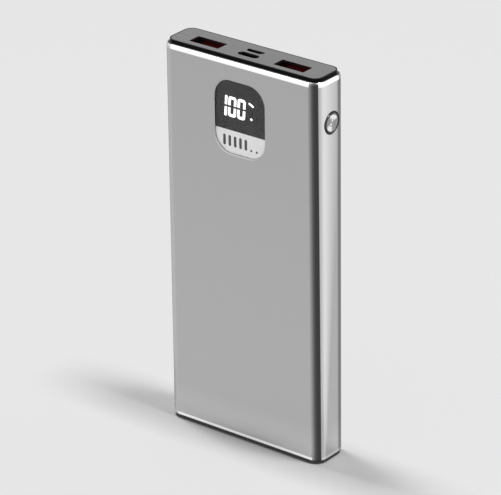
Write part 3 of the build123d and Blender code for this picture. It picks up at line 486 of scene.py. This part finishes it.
# everything else: dark and light grain, roughness, size of the grain, strength of its relief
mouldedFinishes = {
    "glossBlackAbs": ("#050505", "#080808", 0.22, 1.5, 0.02),         # smooth mould, near black
    "greyBlackAbs": ("#464646", "#505050", 0.4, 1.2, 0.05),           # half gloss, dark grey
    "texturedBlackAbs": ("#161616", "#1E1E1E", 0.6, 0.3, 0.2),        # fine moulded texture, matt
    "glassFilledPolycarbonate": ("#262628", "#303034", 0.55, 0.8, 0.15),  # faintly cloudy, matt
    "clearAcrylic": ("#0A0A0A", "#0C0C0C", 0.04, 8.0, 0.0),           # polished, clear
    "darkScreenPrint": ("#363636", "#3A3A3A", 0.6, 0.5, 0.0),         # flat dark ink
    "whiteScreenPrint": ("#F6F6F6", "#FDFDFD", 0.6, 0.5, 0.0),        # flat white ink
    "greyScreenPrint": ("#4A4A4A", "#565656", 0.6, 0.3, 0.0),         # flat grey ink
    "engravedFill": ("#6A6A6A", "#747474", 0.5, 0.2, 0.0),            # mid-grey ink in the button's mark
    "litPolycarbonate": ("#FFFFFF", "#F4F4F4", 0.4, 0.5, 0.0),        # white, lit from behind
    "unlitPolycarbonate": ("#343434", "#3C3C3C", 0.5, 0.5, 0.0),      # the same guides when they are off
    "whitePbt": ("#CFCFCB", "#DADAD6", 0.5, 0.6, 0.1),                # half matt off-white
    "redNylon": ("#94181F", "#A82028", 0.5, 0.4, 0.08),               # deep red, half matt
    "blackNylon": ("#0C0C0C", "#141414", 0.5, 0.4, 0.08),             # half matt black
    "greenSolderMask": ("#0E3B22", "#14502E", 0.35, 0.9, 0.12),       # half gloss dark green
    "sinteredFerrite": ("#26272A", "#34363A", 0.7, 0.25, 0.4),        # grainy dark grey
    "mouldedEpoxy": ("#17181A", "#202124", 0.55, 0.2, 0.2),           # matt black with fine grain
    "firedCeramic": ("#8A6A4C", "#A07E5E", 0.5, 0.2, 0.1),            # light brown
    "aluminiumLaminate": ("#B4B7BC", "#CED1D6", 0.32, 2.5, 0.5),      # silvery foil, softly crinkled
    "closedCellFoam": ("#1B1B1D", "#2C2C2F", 0.95, 0.35, 0.9),        # dull black, open grain
    "acrylicAdhesiveTape": ("#DCDACE", "#E8E6DC", 0.6, 0.8, 0.2),     # cream, slightly uneven
    "redSilicone": ("#8E1216", "#A51A1E", 0.45, 0.5, 0.05),           # soft red lead
    "blackSilicone": ("#101012", "#1A1A1C", 0.45, 0.5, 0.05),         # soft black lead
}
ownSettings = {
    "glossBlackAbs": {"Specular IOR Level": 0.05},                    # a dark cap with weak reflections
    "clearAcrylic": {"IOR": 1.49, "Alpha": 0.06},
    "litPolycarbonate": {"Emission Color": (1, 1, 1, 1), "Emission Strength": 0.9},
    "redNylon": {"Specular IOR Level": 0.2},
    "aluminiumLaminate": {"Metallic": 0.8},
}
finishes = {"sleeve": makeSleeveWithPaintedLight(sleevePlan), "chromePaintedLobes": makeChromeWithPaintedLobes(paintedLobePlan)}
for name, values in metalFinishes.items():
    finishes[name] = makeBrushedFinish(name, *values)
for name, values in mouldedFinishes.items():
    finishes[name] = makeMouldedFinish(name, *values)

finishOfNode = {
    "housing_sleeve": "sleeve", "top_cap": "glossBlackAbs", "port_plate": "brushedAluminium",
    "bottom_cap": "greyBlackAbs", "bottom_plate": "texturedBlackAbs",
    "inner_tray": "glassFilledPolycarbonate", "lens_carrier": "glassFilledPolycarbonate",
    "top_screws": "zincPlatedSteel", "bottom_screws": "zincPlatedSteel", "board_screws": "zincPlatedSteel",
    "display_lens": "clearAcrylic", "lens_mask": "darkScreenPrint", "lens_label": "whiteScreenPrint",
    "gauge_bars": "greyScreenPrint", "lit_segments": "litPolycarbonate",
    "dark_segments": "unlitPolycarbonate", "display_block": "whitePbt", "display_pins": "tinnedCopper",
    "main_board": "greenSolderMask", "protection_board": "greenSolderMask", "inductor": "sinteredFerrite",
    "controller_chip": "mouldedEpoxy", "capacitors": "firedCeramic",
    "usb_a_left_shell": "nickelSteelPaintedShade", "usb_a_right_shell": "nickelSteelPaintedShade",
    "usb_a_left_tongue": "redNylon", "usb_a_right_tongue": "redNylon",
    "usb_a_left_contacts": "bronzeSpringsPaintedShade", "usb_a_right_contacts": "bronzeSpringsPaintedShade",
    "usb_c_shell": "nickelSteelPaintedShade", "usb_c_tongue": "blackNylon",
    "micro_usb_shell": "nickelSteelPaintedShade", "micro_usb_tongue": "blackNylon",
    "power_button": "chromePaintedLobes", "button_bezel": "texturedBlackAbs", "switch_base": "mouldedEpoxy",
    "switch_cover": "stainlessSpringSteel", "switch_dome": "stainlessSpringSteel",
    "switch_plunger": "blackNylon", "front_cell": "aluminiumLaminate", "rear_cell": "aluminiumLaminate",
    "cell_adhesive": "acrylicAdhesiveTape", "front_pad": "closedCellFoam", "rear_pad": "closedCellFoam",
    "cell_tabs": "nickelStrip", "positive_lead": "redSilicone", "negative_lead": "blackSilicone",
}
for name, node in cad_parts.items():
    node.data.materials.clear()
    node.data.materials.append(finishes[finishOfNode[name]])
print("finishes given to", len(finishOfNode), "nodes")


def addPiece(name, shape, finish, body, replaced=None):
    # a finished mesh becomes a piece on its body, in place of a CAD node where it stands for one
    shape.materials.clear()
    shape.materials.append(finishes[finish])
    piece = bpy.data.objects.new(name, shape)
    scene.collection.objects.link(piece)
    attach(piece, body)
    if replaced:
        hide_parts(replaced)
    return piece


def layeredMesh(name, layers):
    # a closed skin through rings of points, all of one length, with a face over each end
    build = bmesh.new()
    rings = [[build.verts.new(point) for point in layer] for layer in layers]
    build.faces.new(rings[0])
    build.faces.new(rings[-1])
    for lower, upper in zip(rings, rings[1:]):
        for spot in range(len(lower)):
            after = (spot + 1) % len(lower)
            build.faces.new((lower[spot], lower[after], upper[after], upper[spot]))
    bmesh.ops.recalc_face_normals(build, faces=build.faces)
    shape = bpy.data.meshes.new(name)
    build.to_mesh(shape)
    build.free()
    return shape


# display lens: a clear pane with a polished round edge, just off the printed films behind it
lensPlan = {
    "cornerRadius": 6.8,
    "edgeRadius": 0.25,
    "filmGap": 0.02,
    "cornerSteps": 12,
    "edgeSteps": 4,
}


def makeDisplayLens(plan):
    low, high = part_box("display_lens")
    filmFront = min(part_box("lens_mask")[0].y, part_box("lens_label")[0].y)
    back = filmFront - plan["filmGap"] * mm
    edge = plan["edgeRadius"] * mm
    middle = (low + high) / 2
    halfWide = (high.x - low.x) / 2
    halfTall = (high.z - low.z) / 2
    layers = [(0.0, back)]
    for step in range(plan["edgeSteps"] + 1):
        turn = math.pi / 2 * step / plan["edgeSteps"]
        layers.append((edge * (1 - math.cos(turn)), low.y + edge * (1 - math.sin(turn))))
    rings = []
    for inset, depth in layers:
        ring = []
        radius = plan["cornerRadius"] * mm - inset
        for quarter, (signX, signZ) in enumerate(((1, 1), (-1, 1), (-1, -1), (1, -1))):
            for step in range(plan["cornerSteps"] + 1):
                turn = math.pi / 2 * (quarter + step / plan["cornerSteps"])
                ring.append((middle.x + signX * (halfWide - inset - radius) + radius * math.cos(turn),
                             depth,
                             middle.z + signZ * (halfTall - inset - radius) + radius * math.sin(turn)))
        rings.append(ring)
    shape = layeredMesh("displayLens", rings)
    shape.shade_smooth()
    return addPiece("displayLens", shape, "clearAcrylic", "casing", "display_lens")


makeDisplayLens(lensPlan)
print("display lens made")

# power button: one turned part with fine rings on its face, a flange and a post behind the wall
buttonPlan = {
    "faceRadius": 3.6,
    "flangeRadius": 4.2,
    "postRadius": 1.4,
    "postLength": 0.5,
    "flangeThickness": 0.7,
    "edgeRadius": 0.15,
    "edgeSteps": 4,
    "ringPitch": 0.30,     # turned rings, drawn coarser than the real 0.05
    "ringDepth": 0.012,
    "dish": 0.06,          # how far the face sinks towards its middle
    "stepsPerRing": 6,
    "turnSteps": 96,
    "markRadius": 1.25,
    "markStroke": 0.30,
    "markRise": 0.015,
    "markSink": 0.05,
    "markSteps": 28,
    "markGap": 76,         # degrees left open at the top of the mark
    "barStart": 0.3,
    "barEnd": 1.75,
}


def faceDepth(plan, radius):
    # how far behind its edge the face lies at this radius, in millimetres
    flat = plan["faceRadius"] - plan["edgeRadius"]
    share = min(radius / flat, 1.0)
    ring = plan["ringDepth"] * (0.5 - 0.5 * math.cos(2 * math.pi * radius / plan["ringPitch"]))
    return plan["dish"] * (1 - share * share) + ring


def makePowerButton(plan):
    flat = plan["faceRadius"] - plan["edgeRadius"]
    face = buttonHigh.x / mm
    flangeBack = buttonLow.x / mm + plan["postLength"]
    flangeFront = flangeBack + plan["flangeThickness"]
    profile = [
        (plan["postRadius"], buttonLow.x / mm), (plan["postRadius"], flangeBack),
        (plan["flangeRadius"], flangeBack), (plan["flangeRadius"], flangeFront),
        (plan["faceRadius"], flangeFront),
    ]
    for step in range(plan["edgeSteps"] + 1):
        turn = math.pi / 2 * step / plan["edgeSteps"]
        profile.append((flat + plan["edgeRadius"] * math.cos(turn),
                        face - plan["edgeRadius"] * (1 - math.sin(turn))))
    faceSteps = round(flat / plan["ringPitch"] * plan["stepsPerRing"])
    for step in range(1, faceSteps):
        radius = flat * (1 - step / faceSteps)
        profile.append((radius, face - faceDepth(plan, radius)))
    turns = [2 * math.pi * spot / plan["turnSteps"] for spot in range(plan["turnSteps"])]
    layers = []
    for radius, reach in profile:
        layers.append([(reach * mm,
                        buttonMiddle.y + radius * mm * math.cos(turn),
                        buttonMiddle.z + radius * mm * math.sin(turn)) for turn in turns])
    shape = layeredMesh("powerButton", layers)
    shape.shade_smooth()
    shape.set_sharp_from_angle(angle=sharpAngle)
    return addPiece("powerButton", shape, "chromePaintedLobes", "button", "power_button")


def makePowerMark(plan):
    # generic mark: an open ring with a short bar through its gap, standing just proud of the face
    build = bmesh.new()
    face = buttonHigh.x / mm
    half = plan["markStroke"] / 2

    def addBlock(corners):
        # a thin block on the face, from its outline in (Y, Z) from the button's middle
        rows = []
        for lift in (-plan["markSink"], plan["markRise"]):
            row = []
            for along, across in corners:
                radius = math.hypot(along, across)
                row.append(build.verts.new((
                    (face - faceDepth(plan, radius) + lift) * mm,
                    buttonMiddle.y + along * mm,
                    buttonMiddle.z + across * mm)))
            rows.append(row)
        build.faces.new(rows[0])
        build.faces.new(rows[1])
        for spot in range(len(corners)):
            after = (spot + 1) % len(corners)
            build.faces.new((rows[0][spot], rows[0][after], rows[1][after], rows[1][spot]))

    opening = math.radians(plan["markGap"])
    first = math.pi / 2 + opening / 2
    turns = [first + (2 * math.pi - opening) * step / plan["markSteps"]
             for step in range(plan["markSteps"] + 1)]
    outer = plan["markRadius"] + half
    inner = plan["markRadius"] - half
    outline = [(outer * math.cos(turn), outer * math.sin(turn)) for turn in turns]
    outline += [(inner * math.cos(turn), inner * math.sin(turn)) for turn in reversed(turns)]
    addBlock(outline)
    addBlock([(-half, plan["barStart"]), (half, plan["barStart"]),
              (half, plan["barEnd"]), (-half, plan["barEnd"])])
    bmesh.ops.recalc_face_normals(build, faces=build.faces)
    bmesh.ops.triangulate(build, faces=build.faces)
    shape = bpy.data.meshes.new("powerMark")
    build.to_mesh(shape)
    build.free()
    return addPiece("powerMark", shape, "engravedFill", "button")


makePowerButton(buttonPlan)
makePowerMark(buttonPlan)
print("power button turned and marked")


def newTree(name, inputs):
    # a geometry tree with named inputs, still empty, and its input and output nodes
    tree = bpy.data.node_groups.new(name, "GeometryNodeTree")
    tree.interface.new_socket("Geometry", in_out="INPUT", socket_type="NodeSocketGeometry")
    tree.interface.new_socket("Geometry", in_out="OUTPUT", socket_type="NodeSocketGeometry")
    for label, kind in inputs:
        tree.interface.new_socket(label, in_out="INPUT", socket_type="NodeSocket" + kind)
    return tree, addNode(tree, "NodeGroupInput"), addNode(tree, "NodeGroupOutput")


def closeTree(tree, given, result, item, finish):
    # puts the item on every given point, as real mesh with its finish
    spread = addNode(tree, "GeometryNodeInstanceOnPoints", {}, {"Points": given, "Instance": item})
    real = addNode(tree, "GeometryNodeRealizeInstances", {}, {"Geometry": spread})
    coated = addNode(tree, "GeometryNodeSetMaterial", {"Material": finishes[finish]}, {"Geometry": real})
    tree.links.new(coated.outputs[0], result.inputs[0])


def grow(name, tree, values, points):
    # runs a geometry tree on a cloud of points and returns the plain mesh that it makes
    cloud = bpy.data.meshes.new(name + "Points")
    cloud.from_pydata(points, [], [])
    carrier = bpy.data.objects.new(name + "Points", cloud)
    scene.collection.objects.link(carrier)
    modifier = carrier.modifiers.new(tree.name, "NODES")
    modifier.node_group = tree
    for socket in tree.interface.items_tree:
        if socket.in_out == "INPUT" and socket.name in values:
            modifier[socket.identifier] = values[socket.name]
    evaluated = carrier.evaluated_get(bpy.context.evaluated_depsgraph_get())
    shape = bpy.data.meshes.new_from_object(evaluated)
    shape.name = name
    carrier.modifiers.remove(modifier)
    bpy.data.objects.remove(carrier)
    bpy.data.meshes.remove(cloud)
    return shape


# socket contacts: a row of leaf springs, each with a crown where the plug's pad slides
contactPlan = {
    "pitch": 2.3,
    "width": 1.0,
    "thickness": 0.2,
    "crown": 0.30,         # how far the spring bows out towards the plug
    "crownWidth": 1.1,
    "crownFromTip": 1.6,
    "count": 4,
    "stepsAcross": 3,
    "stepsAlong": 40,
}


def makeContactTree(plan):
    tree, given, result = newTree("contactSprings", [
        ("Width", "Float"), ("Length", "Float"), ("Thickness", "Float"),
        ("Crown", "Float"), ("Crown Width", "Float"), ("Crown Height", "Float")])
    leaf = addNode(tree, "GeometryNodeMeshGrid", {
        "Vertices X": plan["stepsAcross"], "Vertices Y": plan["stepsAlong"]},
        {"Size X": (given, "Width"), "Size Y": (given, "Length")})
    place = addNode(tree, "GeometryNodeInputPosition")
    axes = addNode(tree, "ShaderNodeSeparateXYZ", {}, {"Vector": place})
    # the crown is a bell curve along the leaf
    off = addNode(tree, "ShaderNodeMath", {"operation": "SUBTRACT"},
                  {0: (axes, "Y"), 1: (given, "Crown Height")})
    share = addNode(tree, "ShaderNodeMath", {"operation": "DIVIDE"}, {0: off, 1: (given, "Crown Width")})
    square = addNode(tree, "ShaderNodeMath", {"operation": "MULTIPLY"}, {0: share, 1: share})
    fall = addNode(tree, "ShaderNodeMath", {"operation": "MULTIPLY", 1: -1.0}, {0: square})
    bell = addNode(tree, "ShaderNodeMath", {"operation": "EXPONENT"}, {0: fall})
    bow = addNode(tree, "ShaderNodeMath", {"operation": "MULTIPLY"}, {0: bell, 1: (given, "Crown")})
    lift = addNode(tree, "ShaderNodeCombineXYZ", {}, {"Z": bow})
    bowed = addNode(tree, "GeometryNodeSetPosition", {}, {"Geometry": (leaf, "Mesh"), "Offset": lift})
    front = addNode(tree, "GeometryNodeExtrudeMesh", {"Individual": False},
                    {"Mesh": bowed, "Offset Scale": (given, "Thickness")})
    rear = addNode(tree, "GeometryNodeFlipFaces", {}, {"Mesh": bowed})
    both = addNode(tree, "GeometryNodeJoinGeometry")
    tree.links.new(front.outputs[0], both.inputs[0])
    tree.links.new(rear.outputs[0], both.inputs[0])
    closed = addNode(tree, "GeometryNodeMergeByDistance", {"Distance": mergeDistance}, {"Geometry": both})
    # the leaf is drawn flat, then stood up with its crown towards -Y
    stood = addNode(tree, "GeometryNodeTransform", {"Rotation": (math.pi / 2, 0, 0)}, {"Geometry": closed})
    closeTree(tree, given, result, stood, "bronzeSpringsPaintedShade")
    return tree


def makeContacts(plan):
    tree = makeContactTree(plan)
    for side in ("left", "right"):
        low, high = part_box(f"usb_a_{side}_contacts")
        middle = (low + high) / 2
        half = (plan["count"] - 1) / 2
        points = [(middle.x + (spot - half) * plan["pitch"] * mm, high.y, middle.z)
                  for spot in range(plan["count"])]
        length = high.z - low.z
        name = f"{side}SocketContacts"
        shape = grow(name, tree, {
            "Width": plan["width"] * mm,
            "Length": length,
            "Thickness": plan["thickness"] * mm,
            "Crown": plan["crown"] * mm,
            "Crown Width": plan["crownWidth"] * mm,
            "Crown Height": length / 2 - plan["crownFromTip"] * mm,
        }, points)
        shape.shade_smooth()
        shape.set_sharp_from_angle(angle=sharpAngle)
        addPiece(name, shape, "bronzeSpringsPaintedShade", "casing", f"usb_a_{side}_contacts")


makeContacts(contactPlan)
print("socket contacts made")

# screws: cross recess, thread cut into the shank and a tapered tip
screwPlan = {
    "headRadius": 1.5,
    "shankRadius": 0.8,
    "panHeight": 0.7,      # height of the board screws' flat heads; the others are countersunk
    "threadPitch": 0.8,
    "threadDepth": 0.14,
    "tipLength": 0.7,
    "tipShare": 0.5,       # width of the tip's end as a share of the shank
    "recessWidth": 0.42,
    "recessDepth": 0.45,
    "recessSpan": 1.9,
    "stepsAround": 24,
    "stepsAlong": 66,
}


def makeScrewTree(plan):
    tree, given, result = newTree("crossRecessScrew", [
        ("Head Radius", "Float"), ("Neck Radius", "Float"), ("Head Height", "Float"),
        ("Shank Radius", "Float"), ("Length", "Float"), ("Thread Pitch", "Float"), ("Thread Depth", "Float"),
        ("Tip Length", "Float"), ("Tip Share", "Float"),
        ("Recess Width", "Float"), ("Recess Depth", "Float"), ("Recess Span", "Float"), ("Turn", "Vector")])
    blank = addNode(tree, "GeometryNodeMeshCylinder", {
        "Vertices": plan["stepsAround"], "Side Segments": plan["stepsAlong"], "Radius": 1.0},
        {"Depth": (given, "Length")})
    place = addNode(tree, "GeometryNodeInputPosition")
    axes = addNode(tree, "ShaderNodeSeparateXYZ", {}, {"Vector": place})
    # the blank is centred on the origin, so depth is measured down from its top
    top = addNode(tree, "ShaderNodeMath", {"operation": "MULTIPLY", 1: 0.5}, {0: (given, "Length")})
    down = addNode(tree, "ShaderNodeMath", {"operation": "SUBTRACT"}, {0: top, 1: (axes, "Z")})
    cone = addNode(tree, "ShaderNodeMapRange", {}, {
        "Value": down, "From Max": (given, "Head Height"),
        "To Min": (given, "Head Radius"), "To Max": (given, "Neck Radius")})
    inHead = addNode(tree, "ShaderNodeMath", {"operation": "LESS_THAN"}, {0: down, 1: (given, "Head Height")})
    head = addNode(tree, "ShaderNodeMath", {"operation": "MULTIPLY"}, {0: cone, 1: inHead})
    # thread: a groove that climbs by one pitch in each turn
    angle = addNode(tree, "ShaderNodeMath", {"operation": "ARCTAN2"}, {0: (axes, "Y"), 1: (axes, "X")})
    turns = addNode(tree, "ShaderNodeMath", {"operation": "DIVIDE", 1: 2 * math.pi}, {0: angle})
    climb = addNode(tree, "ShaderNodeMath", {"operation": "DIVIDE"}, {0: down, 1: (given, "Thread Pitch")})
    phase = addNode(tree, "ShaderNodeMath", {"operation": "ADD"}, {0: climb, 1: turns})
    wave = addNode(tree, "ShaderNodeMath", {"operation": "PINGPONG", 1: 0.5}, {0: phase})
    share = addNode(tree, "ShaderNodeMath", {"operation": "MULTIPLY", 1: 2.0}, {0: wave})
    groove = addNode(tree, "ShaderNodeMath", {"operation": "MULTIPLY"},
                     {0: share, 1: (given, "Thread Depth")})
    shank = addNode(tree, "ShaderNodeMath", {"operation": "SUBTRACT"},
                    {0: (given, "Shank Radius"), 1: groove})
    left = addNode(tree, "ShaderNodeMath", {"operation": "SUBTRACT"}, {0: (given, "Length"), 1: down})
    taper = addNode(tree, "ShaderNodeMapRange", {}, {
        "Value": left, "From Max": (given, "Tip Length"), "To Min": (given, "Tip Share")})
    shank = addNode(tree, "ShaderNodeMath", {"operation": "MULTIPLY"}, {0: shank, 1: taper})
    # the blank's radius is 1, so this is each point's own radius; the head's face comes to the origin
    radius = addNode(tree, "ShaderNodeMath", {"operation": "MAXIMUM"}, {0: head, 1: shank})
    girth = addNode(tree, "ShaderNodeCombineXYZ", {"Z": 1.0}, {"X": radius, "Y": radius})
    scaled = addNode(tree, "ShaderNodeVectorMath", {"operation": "MULTIPLY"}, {0: place, 1: girth})
    drop = addNode(tree, "ShaderNodeMath", {"operation": "MULTIPLY", 1: -1.0}, {0: top})
    sunk = addNode(tree, "ShaderNodeCombineXYZ", {}, {"Z": drop})
    turned = addNode(tree, "GeometryNodeSetPosition", {}, {
        "Geometry": (blank, "Mesh"), "Position": scaled, "Offset": sunk})
    cut = addNode(tree, "GeometryNodeMeshBoolean", {"operation": "DIFFERENCE", "solver": "EXACT"},
                  {"Mesh 1": turned})
    deep = addNode(tree, "ShaderNodeMath", {"operation": "MULTIPLY", 1: 2.0}, {0: (given, "Recess Depth")})
    for long, short in (("X", "Y"), ("Y", "X")):
        size = addNode(tree, "ShaderNodeCombineXYZ", {}, {
            long: (given, "Recess Span"), short: (given, "Recess Width"), "Z": deep})
        slotCut = addNode(tree, "GeometryNodeMeshCube", {}, {"Size": size})
        tree.links.new(slotCut.outputs["Mesh"], cut.inputs["Mesh 2"])
    pointed = addNode(tree, "GeometryNodeTransform", {}, {
        "Geometry": (cut, "Mesh"), "Rotation": (given, "Turn")})
    closeTree(tree, given, result, pointed, "zincPlatedSteel")
    return tree


def solidBoxes(nodeName):
    # lowest and highest corner of each separate solid in a CAD node, from a merged copy of its mesh
    build = bmesh.new()
    build.from_mesh(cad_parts[nodeName].data)
    bmesh.ops.remove_doubles(build, verts=build.verts, dist=mergeDistance)
    waiting = set(build.verts)
    boxes = []
    for start in build.verts:
        if start not in waiting:
            continue
        waiting.remove(start)
        front = [start]
        places = []
        while front:
            vert = front.pop()
            places.append(tuple(vert.co))
            for edge in vert.link_edges:
                other = edge.other_vert(vert)
                if other in waiting:
                    waiting.remove(other)
                    front.append(other)
        boxes.append((Vector(map(min, zip(*places))), Vector(map(max, zip(*places)))))
    build.free()
    return boxes


def makeScrews(plan):
    # each row: the node, the piece, the axis of its screws, whether they point up it, and their turn
    # round X from pointing down
    tree = makeScrewTree(plan)
    for nodeName, pieceName, axis, upwards, turn in (
            ("top_screws", "topCapScrews", 2, False, 0.0),
            ("bottom_screws", "bottomCapScrews", 2, True, math.pi),
            ("board_screws", "boardScrews", 1, True, math.pi / 2)):
        if nodeName == "board_screws":
            neckRadius, headHeight = plan["headRadius"], plan["panHeight"]
        else:
            neckRadius, headHeight = plan["shankRadius"], plan["headRadius"] - plan["shankRadius"]
        points = []
        for low, high in solidBoxes(nodeName):
            point = (low + high) / 2
            point[axis] = low[axis] if upwards else high[axis]
            points.append(tuple(point))
            length = high[axis] - low[axis]
        shape = grow(pieceName, tree, {
            "Head Radius": plan["headRadius"] * mm,
            "Neck Radius": neckRadius * mm,
            "Head Height": headHeight * mm,
            "Shank Radius": plan["shankRadius"] * mm,
            "Length": length,
            "Thread Pitch": plan["threadPitch"] * mm,
            "Thread Depth": plan["threadDepth"] * mm,
            "Tip Length": plan["tipLength"] * mm,
            "Tip Share": plan["tipShare"],
            "Recess Width": plan["recessWidth"] * mm,
            "Recess Depth": plan["recessDepth"] * mm,
            "Recess Span": plan["recessSpan"] * mm,
            "Turn": (turn, 0, 0),
        }, points)
        addPiece(pieceName, shape, "zincPlatedSteel", "casing", nodeName)
        print(pieceName, "made:", len(points), "screws,", len(shape.polygons), "faces")


makeScrews(screwPlan)
